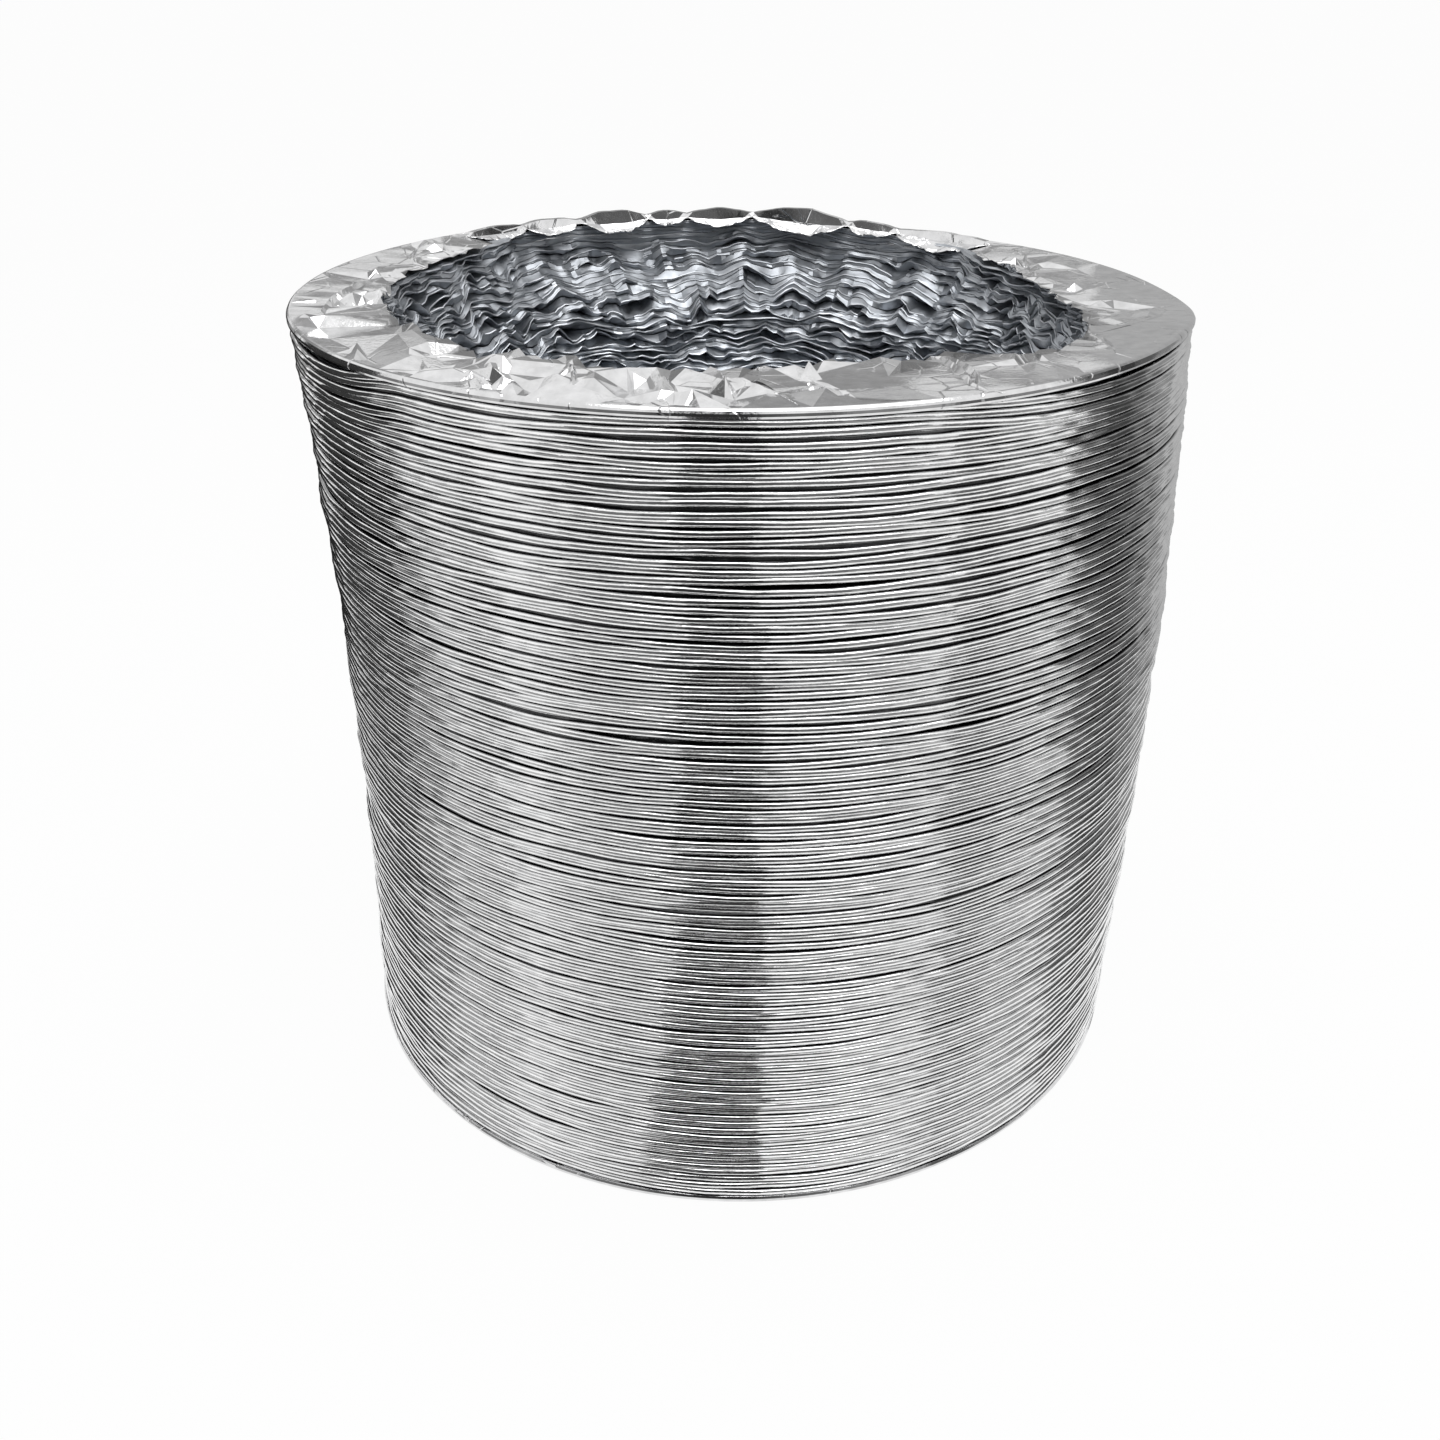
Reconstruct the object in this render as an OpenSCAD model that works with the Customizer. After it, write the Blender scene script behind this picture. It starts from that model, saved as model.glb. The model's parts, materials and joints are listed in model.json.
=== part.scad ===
// Flexible air duct: a wire helix sealed in a foil wall, pushed together so that the foil
// between the turns is folded inward. The duct stands on its lower end, with its axis on Z.

/* [Duct] */
// Outer diameter, over the turns
duct_od = 204; // [120:1:320]
// Depth of the foil folded inward between two turns, from the outer face
fold_depth = 24; // [10:0.5:40]
// Number of sections that can move against each other
sections = 17; // [4:1:17]
// Wire turns in one section
section_turns = 6; // [3:1:10]

/* [Wire] */
// Diameter of the spring wire
wire_d = 1.2; // [0.8:0.1:2.5]
// Clearance of the wire in its foil sleeve
wire_fit = 0.02; // [0.01:0.01:0.1]

/* [Foil] */
// Thickness of the foil sleeve round the wire
sleeve_t = 0.2; // [0.1:0.05:0.5]
// Gap between two turns, pushed together
turn_gap = 0.19; // [0.05:0.01:1]
// Height of the folded foil of an end turn, where it leaves its sleeve
web_h = 0.25; // [0.1:0.05:0.5]
// Height of the creased edge of one fold, in the bore
crease_h = 0.5; // [0.3:0.05:0.8]
// Clearance between a foil pleat and the sections that it joins
pleat_fit = 0.08; // [0.05:0.01:0.1]

/* [Ends] */
// Width of the foil folded in flat over each end
flange_w = 23; // [5:0.5:40]
// Thickness of the end foil
flange_t = 0.3; // [0.15:0.05:0.5]
// Clearance of the end foil round the end turn
flange_fit = 0.02; // [0.01:0.01:0.1]

/* [Hidden] */
duct_r = duct_od / 2;
sleeve_hole = wire_d + 2 * wire_fit;
sleeve_w = sleeve_hole + 2 * sleeve_t;
sleeve_axis_r = duct_r - sleeve_w / 2;
sleeve_back_r = duct_r - sleeve_w;
pitch = sleeve_w + turn_gap;
stack_h = (section_turns - 1) * pitch;
crest_r = duct_r - fold_depth;

// Height of a section's top face over its top turn: behind the sleeve, and at the bore
web_top = web_h / 2;
crest_top = (crease_h - pitch) / 2;

pleat_r = sleeve_back_r - pleat_fit;

cuff_r = duct_r + flange_fit;
end_lift = flange_t + flange_fit + sleeve_w / 2;
last_turn = sections * section_turns - 1;
duct_h = 2 * end_lift + last_turn * pitch;
flange_r = duct_r - flange_w;

function two_digits(n) = str(n < 10 ? "0" : "", n);
function turn_z(n) = end_lift + n * pitch;
function first_turn(k) = (k - 1) * section_turns;
function foil_name(k) = str("foil_section_", two_digits(k));
function wire_name(k) = str("wire_coil_", two_digits(k));
function pleat_name(k) = str("foil_pleat_", two_digits(k));

// Ring round the stack of turns: width, and height past the middle of the end turns, both ways
module turns_band(w) {
    translate([sleeve_axis_r - w / 2, -w / 2]) square([w, stack_h + w]);
}

// Foil of one section: a sleeve round its turns of wire, and its closed folds down to the bore
module foil_section(k) {
    color("silver")
    translate([0, 0, turn_z(first_turn(k))])
    rotate_extrude()
    difference() {
        polygon([
            [duct_r, -sleeve_w / 2],
            [duct_r, stack_h + sleeve_w / 2],
            [sleeve_back_r, stack_h + sleeve_w / 2],
            [sleeve_back_r, stack_h + web_top],
            [crest_r, stack_h + crest_top],
            [crest_r, -crest_top],
            [sleeve_back_r, -web_top],
            [sleeve_back_r, -sleeve_w / 2]
        ]);
        turns_band(sleeve_hole);
    }
}

// Band that the closed-up turns of spring wire fill in one section
module wire_coil(k) {
    color("dimgray")
    translate([0, 0, turn_z(first_turn(k))])
    rotate_extrude()
    turns_band(wire_d);
}

// Foil pleat that joins a section to the one above it
module foil_pleat(k) {
    color("lightsteelblue")
    translate([0, 0, turn_z(first_turn(k + 1) - 1)])
    rotate_extrude()
    polygon([
        [pleat_r, web_top + pleat_fit],
        [pleat_r, pitch - web_top - pleat_fit],
        [crest_r, pitch - crest_top - pleat_fit],
        [crest_r, crest_top + pleat_fit]
    ]);
}

// End foil, folded in flat, with a cuff round the end turn
module end_flange() {
    rotate_extrude()
    polygon([
        [flange_r, 0],
        [cuff_r + flange_t, 0],
        [cuff_r + flange_t, end_lift],
        [cuff_r, end_lift],
        [cuff_r, flange_t],
        [flange_r, flange_t]
    ]);
}

module bottom_flange() {
    color("gainsboro") end_flange();
}

module top_flange() {
    color("gainsboro")
    translate([0, 0, duct_h])
    mirror([0, 0, 1])
    end_flange();
}

bottom_flange();
top_flange();
for (k = [1:sections]) {
    foil_section(k);
    wire_coil(k);
}
for (k = [1:sections - 1])
    foil_pleat(k);
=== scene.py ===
import json
import math

import bpy
import numpy as np
from bpy.props import FloatProperty, FloatVectorProperty, IntProperty, PointerProperty
from mathutils.geometry import delaunay_2d_cdt
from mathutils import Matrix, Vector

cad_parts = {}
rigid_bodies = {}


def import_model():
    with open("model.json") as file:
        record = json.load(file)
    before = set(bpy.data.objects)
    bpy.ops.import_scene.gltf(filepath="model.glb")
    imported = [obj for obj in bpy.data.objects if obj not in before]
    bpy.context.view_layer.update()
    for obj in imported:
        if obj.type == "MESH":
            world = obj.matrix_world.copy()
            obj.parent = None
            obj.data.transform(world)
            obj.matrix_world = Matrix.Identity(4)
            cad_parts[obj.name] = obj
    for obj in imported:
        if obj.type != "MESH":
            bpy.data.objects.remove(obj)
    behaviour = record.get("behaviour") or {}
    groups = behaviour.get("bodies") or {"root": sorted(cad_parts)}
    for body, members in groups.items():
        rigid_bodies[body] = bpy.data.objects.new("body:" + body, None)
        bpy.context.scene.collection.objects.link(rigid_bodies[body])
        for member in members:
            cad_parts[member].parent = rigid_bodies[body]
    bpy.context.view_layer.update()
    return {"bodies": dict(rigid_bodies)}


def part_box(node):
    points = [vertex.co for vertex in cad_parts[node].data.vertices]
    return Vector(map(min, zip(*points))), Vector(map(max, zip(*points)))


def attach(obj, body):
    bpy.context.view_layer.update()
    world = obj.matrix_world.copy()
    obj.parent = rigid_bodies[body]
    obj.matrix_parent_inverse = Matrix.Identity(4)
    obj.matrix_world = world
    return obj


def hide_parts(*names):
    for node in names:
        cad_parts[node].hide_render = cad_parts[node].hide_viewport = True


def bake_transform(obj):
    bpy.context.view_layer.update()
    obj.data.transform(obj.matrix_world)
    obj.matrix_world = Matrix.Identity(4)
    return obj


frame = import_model()

bl_info = {
    "name": "Flexible Air Duct",
    "version": (1, 0, 0),
    "blender": (4, 5, 0),
    "location": "View3D > Sidebar > Air Duct",
    "description": "Builds a closed-up foil air duct round its construction model",
    "category": "Add Mesh",
}

MM = 0.001
LOW, HIGH = 0, 1
X, Y, Z = 0, 1, 2
SECTIONS = sum(name.startswith("section_") for name in frame["bodies"])
# Turns of wire in one section, and the number of the last of all turns, from 0 at the bottom
SECTION_TURNS = 6
LAST_TURN = SECTIONS * SECTION_TURNS - 1


def section_body(k):
    return f"section_{k:02d}"


def measured(node, side, axis):
    """The low or the high side of a construction node's box, along an axis."""
    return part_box(node)[side][axis]


DUCT_TOP = measured("top_flange", HIGH, Z)
SLEEVE_R = measured("foil_section_01", HIGH, X)
SECTION_H = measured("foil_section_02", LOW, Z) - measured("foil_section_01", LOW, Z)
PITCH = SECTION_H / SECTION_TURNS
FOLD_DEPTH = 24 * MM
CREST_R = SLEEVE_R - FOLD_DEPTH
# Half the width of the foil sleeve round the wire, and how far the turns sit back to have room to stray
SLEEVE_HALF = 0.82 * MM
STRAY_ROOM = 0.35 * MM
FIRST_TURN_Z = measured("foil_section_01", LOW, Z) + SLEEVE_HALF


# Sizes and colours that a user would change


class DuctSizes(bpy.types.PropertyGroup):
    rib_r: FloatProperty(
        name="Rib radius", description="Radius of the foil sleeve round the wire",
        default=0.78 * MM, unit="LENGTH",
    )
    wire_r: FloatProperty(
        name="Wire radius", description="Radius of the spring wire in the sleeve",
        default=0.58 * MM, unit="LENGTH",
    )
    groove_depth: FloatProperty(
        name="Groove depth", description="How far the foil goes in between two ribs before it folds",
        default=2.4 * MM, unit="LENGTH",
    )
    wobble_up: FloatProperty(
        name="Wobble up", description="How far a turn strays up and down",
        default=0.62 * MM, unit="LENGTH",
    )
    wobble_out: FloatProperty(
        name="Wobble out", description="How far a turn strays in and out",
        default=0.55 * MM, unit="LENGTH",
    )
    drift: FloatProperty(
        name="Drift", description="How far groups of turns sit off the axis",
        default=1.3 * MM, unit="LENGTH",
    )
    left_slot: FloatProperty(
        name="Left slot", description="How far the top turns hang away from the end foil at the left",
        default=3.2 * MM, unit="LENGTH",
    )
    right_slot: FloatProperty(
        name="Right slot", description="How far the top turns hang away from the end foil at the right",
        default=2.6 * MM, unit="LENGTH",
    )
    lean: FloatProperty(
        name="Lean", description="How far the middle of the stack stands to the right",
        default=2.6 * MM, unit="LENGTH",
    )
    sag: FloatProperty(
        name="Sag", description="How far the top sags at the back right", default=3.3 * MM, unit="LENGTH",
    )
    around: IntProperty(
        name="Steps around", description="Mesh steps around each turn", default=384, min=48,
    )
    seed: IntProperty(name="Seed", description="Picks the pattern of the dents", default=7)


class FoilFolds(bpy.types.PropertyGroup):
    cells: IntProperty(
        name="Crumples around", description="Crumples of the inner foil in one turn", default=78,
    )
    stray: FloatProperty(
        name="Stray", description="How far a bundle of folds is pushed up or down",
        default=2.3 * MM, unit="LENGTH",
    )
    reach: FloatProperty(
        name="Reach", description="How far a bundle of folds is pushed in or out",
        default=1.6 * MM, unit="LENGTH",
    )
    tight: FloatProperty(
        name="Tight", description="Share of a plain gap left between two folds of a bundle", default=0.4,
    )
    open_from: FloatProperty(
        name="Open from", description="Lower values open more pockets between the folds", default=0.3,
    )
    around: IntProperty(
        name="Steps around", description="Mesh steps around each fold", default=480, min=48,
    )
    seed: IntProperty(name="Seed", description="Picks the pattern of the crumples", default=23)


class FoilFinish(bpy.types.PropertyGroup):
    outer: FloatVectorProperty(
        name="Outer foil", description="Colour of the foil on the ribs",
        default=(0.93, 0.935, 0.94), subtype="COLOR",
    )
    # The bore's foil is coloured darker than the outer foil, as painted shade for the dim bore
    inner: FloatVectorProperty(
        name="Inner foil", description="Colour of the folded foil in the bore",
        default=(0.60, 0.63, 0.67), subtype="COLOR",
    )
    # Painted highlight: the crests of the folds are coloured lighter than their leaves
    crest: FloatVectorProperty(
        name="Crests", description="Colour of the worn crests of the folds",
        default=(0.80, 0.82, 0.85), subtype="COLOR",
    )
    # Painted shade: the colour that darkens the bore's foil near the top
    mouth_painted_shade: FloatVectorProperty(
        name="Mouth", description="Colour of the dulled foil of the bore, next to the top",
        default=(0.12, 0.125, 0.135), subtype="COLOR",
    )
    groove: FloatVectorProperty(
        name="Grooves", description="Colour of the dirt and shade deep between two ribs",
        default=(0.03, 0.03, 0.034), subtype="COLOR",
    )
    end: FloatVectorProperty(
        name="End foil", description="Colour of the foil folded over the ends",
        default=(0.75, 0.75, 0.755), subtype="COLOR",
    )
    wire: FloatVectorProperty(
        name="Wire", description="Colour of the spring wire",
        default=(0.42, 0.42, 0.43), subtype="COLOR",
    )


class DuctStage(bpy.types.PropertyGroup):
    lens: FloatProperty(
        name="Lens", description="Focal length on a 36 mm wide sensor", default=36.4,
    )
    tilt: FloatProperty(
        name="Tilt", description="How far the camera looks down",
        default=math.radians(28.26), subtype="ANGLE",
    )
    away: FloatProperty(
        name="Distance", description="From the duct's axis to the camera", default=0.3455, unit="LENGTH",
    )
    above: FloatProperty(
        name="Height", description="Camera height above the duct's top", default=0.0708, unit="LENGTH",
    )
    shift: FloatProperty(
        name="Shift", description="Sideways shift of the view, as a share of its width", default=-0.0146,
    )


# Random patterns, the same on each run


PATTERN_ROWS = 64


def pattern(a, b, period, seed):
    """Random heights from -1 to 1 at the four corners round each place, and how far in it lies between them.
    The pattern repeats after period in a, and after PATTERN_ROWS in b."""
    heights = np.random.default_rng(seed).uniform(-1, 1, (period, PATTERN_ROWS))
    i, j = np.floor(a).astype(int), np.floor(b).astype(int)
    corners = [
        heights[(i + di) % period, (j + dj) % PATTERN_ROWS] for di, dj in ((0, 0), (1, 0), (0, 1), (1, 1))
    ]
    return corners, a - i, b - j


def facets(a, b, period, seed):
    """A random pattern joined by flat triangles."""
    (near, beside, above, far), fa, fb = pattern(a, b, period, seed)
    low = near * (1 - fa - fb) + beside * fa + above * fb
    high = far * (fa + fb - 1) + beside * (1 - fb) + above * (1 - fa)
    return np.where(fa + fb > 1, high, low)


def swells(a, b, period, seed):
    """A random pattern joined by a smooth surface."""
    (near, beside, above, far), fa, fb = pattern(a, b, period, seed)
    fa, fb = eased(fa), eased(fb)
    low = near * (1 - fa) + beside * fa
    high = above * (1 - fa) + far * fa
    return low * (1 - fb) + high * fb


def eased(share):
    return share * share * (3 - 2 * share)


def ramp(value, start, end):
    """0 before start, 1 after end, and a smooth step between."""
    return eased(np.clip((value - start) / (end - start), 0, 1))


def degrees_apart(degrees, middle):
    """How far angles lie from one of them, the short way round."""
    return np.abs((degrees - middle + 180) % 360 - 180)


# Meshes


def faces_mesh(name, points, faces):
    """A mesh from an array of points and an array of faces, all with the same number of corners."""
    mesh = bpy.data.meshes.new(name)
    mesh.vertices.add(len(points))
    mesh.vertices.foreach_set("co", np.asarray(points, np.float32).ravel())
    mesh.loops.add(faces.size)
    mesh.loops.foreach_set("vertex_index", faces.ravel().astype(np.int32))
    mesh.polygons.add(len(faces))
    mesh.polygons.foreach_set("loop_start", np.arange(0, faces.size, faces.shape[1], dtype=np.int32))
    mesh.update(calc_edges=True)
    mesh.validate()
    return mesh


def joined(parts):
    """Point and face arrays of several rings as one pair of arrays."""
    points, faces, count = [], [], 0
    for part_points, part_faces in parts:
        points.append(part_points)
        faces.append(part_faces + count)
        count += len(part_points)
    return np.concatenate(points), np.concatenate(faces)


def ring_faces(rows, columns):
    """Faces for a grid of points that closes both ways, with its points in rows round the duct."""
    row, column = np.meshgrid(np.arange(rows), np.arange(columns), indexing="ij")
    above, beside = (row + 1) % rows, (column + 1) % columns
    here, over = row * columns, above * columns
    return np.stack([here + column, here + beside, over + beside, over + column], axis=-1).reshape(-1, 4)


def add_object(name, data):
    thing = bpy.data.objects.new(name, data)
    bpy.context.scene.collection.objects.link(thing)
    return thing


def add_piece(name, mesh, material):
    mesh.materials.clear()
    mesh.materials.append(material)
    piece = add_object(name, mesh)
    return piece


def point_places(mesh):
    places = np.empty(len(mesh.vertices) * 3, np.float32)
    mesh.vertices.foreach_get("co", places)
    return places.reshape(-1, 3)


def point_values(mesh, name):
    values = np.empty(len(mesh.vertices), np.float32)
    mesh.attributes[name].data.foreach_get("value", values)
    return values


def blend_by_share(piece, shares):
    mesh = piece.data
    places = point_places(mesh)
    stand = np.zeros_like(places)
    stand[:, Z] = 0.5 - np.sin(np.arcsin(1 - 2 * np.clip(shares, 0, 1)) / 3)
    mesh.vertices.foreach_set("co", stand.ravel())
    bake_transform(piece)
    mesh.vertices.foreach_set("co", places.ravel())
    mesh.update()


# Node trees


class Nodes:
    """A short way to write a node tree: numbers and sockets go in, sockets come out."""

    def __init__(self, tree):
        self.tree = tree

    def put(self, socket, value):
        if isinstance(value, bpy.types.NodeSocket):
            self.tree.links.new(value, socket)
        elif value is not None:
            socket.default_value = value

    def node(self, kind, values=(), settings=(), out=0):
        node = self.tree.nodes.new(kind)
        for key, value in dict(settings).items():
            setattr(node, key, value)
        for key, value in dict(values).items():
            self.put(node.inputs[key], value)
        return node.outputs[out]

    def math(self, operation, a, b=None, c=None):
        node = self.tree.nodes.new("ShaderNodeMath")
        node.operation = operation
        for socket, value in zip(node.inputs, (a, b, c)):
            self.put(socket, value)
        return node.outputs[0]

    def fitted(self, value, span, to=(0, 1)):
        """A value moved from one span to another, and held at the ends."""
        return self.node(
            "ShaderNodeMapRange",
            {"Value": value, "From Min": span[0], "From Max": span[1], "To Min": to[0], "To Max": to[1]},
        )


class ShapeNodes(Nodes):
    """The same for a Geometry Nodes tree, with its inputs by name."""

    def __init__(self, name):
        super().__init__(bpy.data.node_groups.new(name, "GeometryNodeTree"))
        self.tree.interface.new_socket("Geometry", in_out="OUTPUT", socket_type="NodeSocketGeometry")
        for label, kind in WINDING_INPUTS.items():
            self.tree.interface.new_socket(label, in_out="INPUT", socket_type=kind)
        self.inputs = self.tree.nodes.new("NodeGroupInput").outputs

    def get(self, name):
        return self.inputs[name]

    def add(self, a, b):
        return self.math("ADD", a, b)

    def less(self, a, b):
        return self.math("SUBTRACT", a, b)

    def times(self, a, b):
        return self.math("MULTIPLY", a, b)

    def vector(self, x, y, z):
        return self.node("ShaderNodeCombineXYZ", {"X": x, "Y": y, "Z": z})

    def ramp(self, value, start, end):
        """0 before start, 1 after end, and a smooth step between."""
        return self.node(
            "ShaderNodeMapRange", {"Value": value, "From Min": start, "From Max": end},
            {"interpolation_type": "SMOOTHSTEP"},
        )

    def noise(self, x, y, z, detail=0.0):
        """Smooth noise from about -1 to 1."""
        found = self.node(
            "ShaderNodeTexNoise", {"Vector": self.vector(x, y, z), "Scale": 1.0, "Detail": detail},
        )
        return self.times(self.less(found, 0.5), 2.0)

    def keep(self, geometry, name, value):
        """Stores a value at each point, under a name."""
        return self.node(
            "GeometryNodeStoreNamedAttribute", {"Geometry": geometry, "Name": name, "Value": value},
            {"data_type": "FLOAT", "domain": "POINT"},
        )

    def finish(self, geometry):
        """Ends the tree with a smooth, real mesh in its material."""
        soft = self.node("GeometryNodeSetShadeSmooth", {"Geometry": geometry})
        solid = self.node("GeometryNodeRealizeInstances", {"Geometry": soft})
        done = self.node("GeometryNodeSetMaterial", {"Geometry": solid, "Material": self.get("Material")})
        self.put(self.tree.nodes.new("NodeGroupOutput").inputs[0], done)
        return self.tree


LENGTH = "NodeSocketFloat"
COUNT = "NodeSocketInt"
WINDING_INPUTS = {
    "Turns": COUNT, "First turn": COUNT, "Around": COUNT, "Seed": COUNT,
    "Pitch": LENGTH, "First height": LENGTH, "Axis radius": LENGTH, "Tube radius": LENGTH,
    "Groove radius": LENGTH, "Wobble up": LENGTH, "Wobble out": LENGTH, "Drift": LENGTH,
    "Last turn": LENGTH, "Left slot": LENGTH, "Right slot": LENGTH, "Lean": LENGTH, "Sag": LENGTH,
    "Material": "NodeSocketMaterial",
}


# Where the top turns hang away from the end foil: middle and half width, in degrees
LEFT_SLOT = (206, 26)
RIGHT_SLOT = (-34, 42)
SLOT_TURNS = 8
# Where the top sags: middle, and half width of the whole and of the deepest part, in degrees
SAG_MIDDLE, SAG_WIDE, SAG_DEEP = 31, 56, 20
SAG_TURNS = 34


def stack_lean(turn):
    """How far a turn stands to the right."""
    return bpy.context.scene.duct_sizes.lean * np.sin(math.pi * turn / LAST_TURN)


def stack_sag(degrees, turn):
    """How far a turn sags at an angle."""
    facing = np.cos(np.radians(degrees - SAG_MIDDLE))
    lobe = ramp(facing, math.cos(math.radians(SAG_WIDE)), math.cos(math.radians(SAG_DEEP)))
    return bpy.context.scene.duct_sizes.sag * lobe * ramp(turn, LAST_TURN - SAG_TURNS, LAST_TURN)


# Layers of noise that move a turn, as waves round it, waves from turn to turn, shift and weight
UP_LAYERS = ((1.5, 0.30, 0.0, 1.0), (3.4, 1.1, 40.0, 0.8), (8.0, 1.4, 300.0, 0.3))
OUT_LAYERS = ((1.2, 0.22, 80.0, 0.7), (3.5, 0.9, 120.0, 0.5))
# Small dents: the same three numbers, how deep they are as a share of the wobble out, and how far they also
# move the turn up, as a share of their depth
DENTS = (17.0, 1.7, 200.0)
DENT_DEPTH = 0.45
DENT_UP = 0.6
# Turns from an end over which wobble and drift grow to their full size
WOBBLE_FROM_END = (-0.5, 2.5)
DRIFT_FROM_END = (0, 12)
# Drift of groups of turns: waves from turn to turn, where the noise for both ways lies, and its detail
DRIFT_WAVES = 0.11
DRIFT_ASIDE, DRIFT_AHEAD = (3.1, 0.0), (9.7, 5.0)
DRIFT_DETAIL = 2.0
# How far apart two seeds lie in the noise
SEED_STEP = 13.7


def winding_place(t, level, theta, radius, height):
    """Where a point of a turn lies, once the turn's wobble, drift and hang are added."""
    cos, sin = t.math("COSINE", theta), t.math("SINE", theta)
    along = t.add(level, t.times(t.get("Seed"), SEED_STEP))
    from_top = t.less(t.get("Last turn"), level)

    def held_at_ends(span):
        return t.times(t.ramp(level, *span), t.ramp(from_top, *span))

    def stray(around, onward, shift):
        return t.noise(
            t.times(cos, around), t.times(sin, around), t.add(t.times(along, onward), shift),
        )

    def layered(layers, size):
        total = 0.0
        for around, onward, shift, weight in layers:
            total = t.add(total, t.times(stray(around, onward, shift), weight))
        return t.times(t.times(total, t.get(size)), held_at_ends(WOBBLE_FROM_END))

    def lobe(middle, half_width, full=0):
        """1 round an angle as far as full, and 0 from half_width on."""
        facing = t.math("COSINE", t.less(theta, math.radians(middle)))
        return t.ramp(facing, math.cos(math.radians(half_width)), math.cos(math.radians(full)))

    up = layered(UP_LAYERS, "Wobble up")
    out = layered(OUT_LAYERS, "Wobble out")
    dent = t.times(t.times(stray(*DENTS), t.get("Wobble out")), DENT_DEPTH)
    drift = t.times(t.get("Drift"), held_at_ends(DRIFT_FROM_END))
    aside = t.times(t.noise(t.times(along, DRIFT_WAVES), *DRIFT_ASIDE, DRIFT_DETAIL), drift)
    ahead = t.times(t.noise(t.times(along, DRIFT_WAVES), *DRIFT_AHEAD, DRIFT_DETAIL), drift)
    bend = t.math("SINE", t.times(t.math("DIVIDE", level, t.get("Last turn")), math.pi))
    aside = t.add(aside, t.times(bend, t.get("Lean")))
    sag = t.times(lobe(SAG_MIDDLE, SAG_WIDE, SAG_DEEP), t.get("Sag"))
    hang = t.times(sag, t.less(1, t.ramp(from_top, 0, SAG_TURNS)))
    slots = t.add(
        t.times(lobe(*LEFT_SLOT), t.get("Left slot")), t.times(lobe(*RIGHT_SLOT), t.get("Right slot")),
    )
    near_top = t.math("MAXIMUM", t.less(1, t.math("DIVIDE", from_top, SLOT_TURNS)), 0.0)
    hang = t.add(hang, t.times(slots, near_top))
    reach = t.add(radius, t.add(out, dent))
    return t.vector(
        t.add(t.times(reach, cos), aside),
        t.add(t.times(reach, sin), ahead),
        t.less(t.add(height, t.add(up, t.times(dent, DENT_UP))), hang),
    )


# Rows of points on a rib with its groove, the angle between two of them round the rib, how far the wall
# behind stands back from the grooves, and how near points are joined where the wall closes
RIB_ROWS = 8
RIB_STEP = math.radians(35)
BACK_WALL = 0.3 * MM
SEAM = 0.01 * MM
# Rows after the ribs: the top groove, the wall behind at the top and at the bottom, and the first row again
CLOSING_ROWS = 4


def wall_tree():
    """Ribs with grooves between them, closed by a plain wall behind."""
    t = ShapeNodes("duct_wall")
    outer_rows = t.times(t.get("Turns"), RIB_ROWS)
    rows = t.add(outer_rows, CLOSING_ROWS)
    columns = t.add(t.get("Around"), 1)
    grid = t.node("GeometryNodeMeshGrid", {"Vertices X": columns, "Vertices Y": rows})
    index = t.node("GeometryNodeInputIndex")
    column = t.math("FLOOR", t.math("DIVIDE", t.add(index, 0.5), rows))
    row_all = t.less(index, t.times(column, rows))
    back_top = t.math("COMPARE", row_all, t.add(outer_rows, 1), 0.5)
    back_low = t.math("COMPARE", row_all, t.add(outer_rows, 2), 0.5)
    closing = t.math("COMPARE", row_all, t.add(outer_rows, 3), 0.5)
    back = t.add(back_top, back_low)
    outside = t.less(1, t.add(back, closing))
    row = t.add(t.times(row_all, outside), t.times(outer_rows, back_top))
    turn = t.math("FLOOR", t.math("DIVIDE", t.add(row, 0.5), RIB_ROWS))
    place = t.less(row, t.times(turn, RIB_ROWS))
    groove = t.math("LESS_THAN", place, 0.5)
    rib = t.less(1, groove)
    angle = t.times(t.less(place, RIB_ROWS / 2), RIB_STEP)
    level = t.less(t.add(t.get("First turn"), turn), t.times(groove, 0.5))
    rib_reach = t.add(t.get("Axis radius"), t.times(t.get("Tube radius"), t.math("COSINE", angle)))
    reach = t.add(t.times(groove, t.get("Groove radius")), t.times(rib, rib_reach))
    reach = t.less(reach, t.times(back, BACK_WALL))
    height = t.add(t.get("First height"), t.times(level, t.get("Pitch")))
    height = t.add(height, t.times(rib, t.times(t.get("Tube radius"), t.math("SINE", angle))))
    theta = t.times(t.math("DIVIDE", column, t.get("Around")), math.tau)
    where = winding_place(t, level, theta, reach, height)
    shaped = t.node("GeometryNodeSetPosition", {"Geometry": grid, "Position": where})
    share = t.math("DIVIDE", t.add(turn, t.times(rib, 0.5)), t.get("Turns"))
    shaped = t.keep(t.keep(shaped, "share", share), "rib_angle", t.math("ABSOLUTE", angle))
    return t.finish(t.node("GeometryNodeMergeByDistance", {"Geometry": shaped, "Distance": SEAM}))


WIRE_SIDES = 6
WIRE_STEPS = 96


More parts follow.
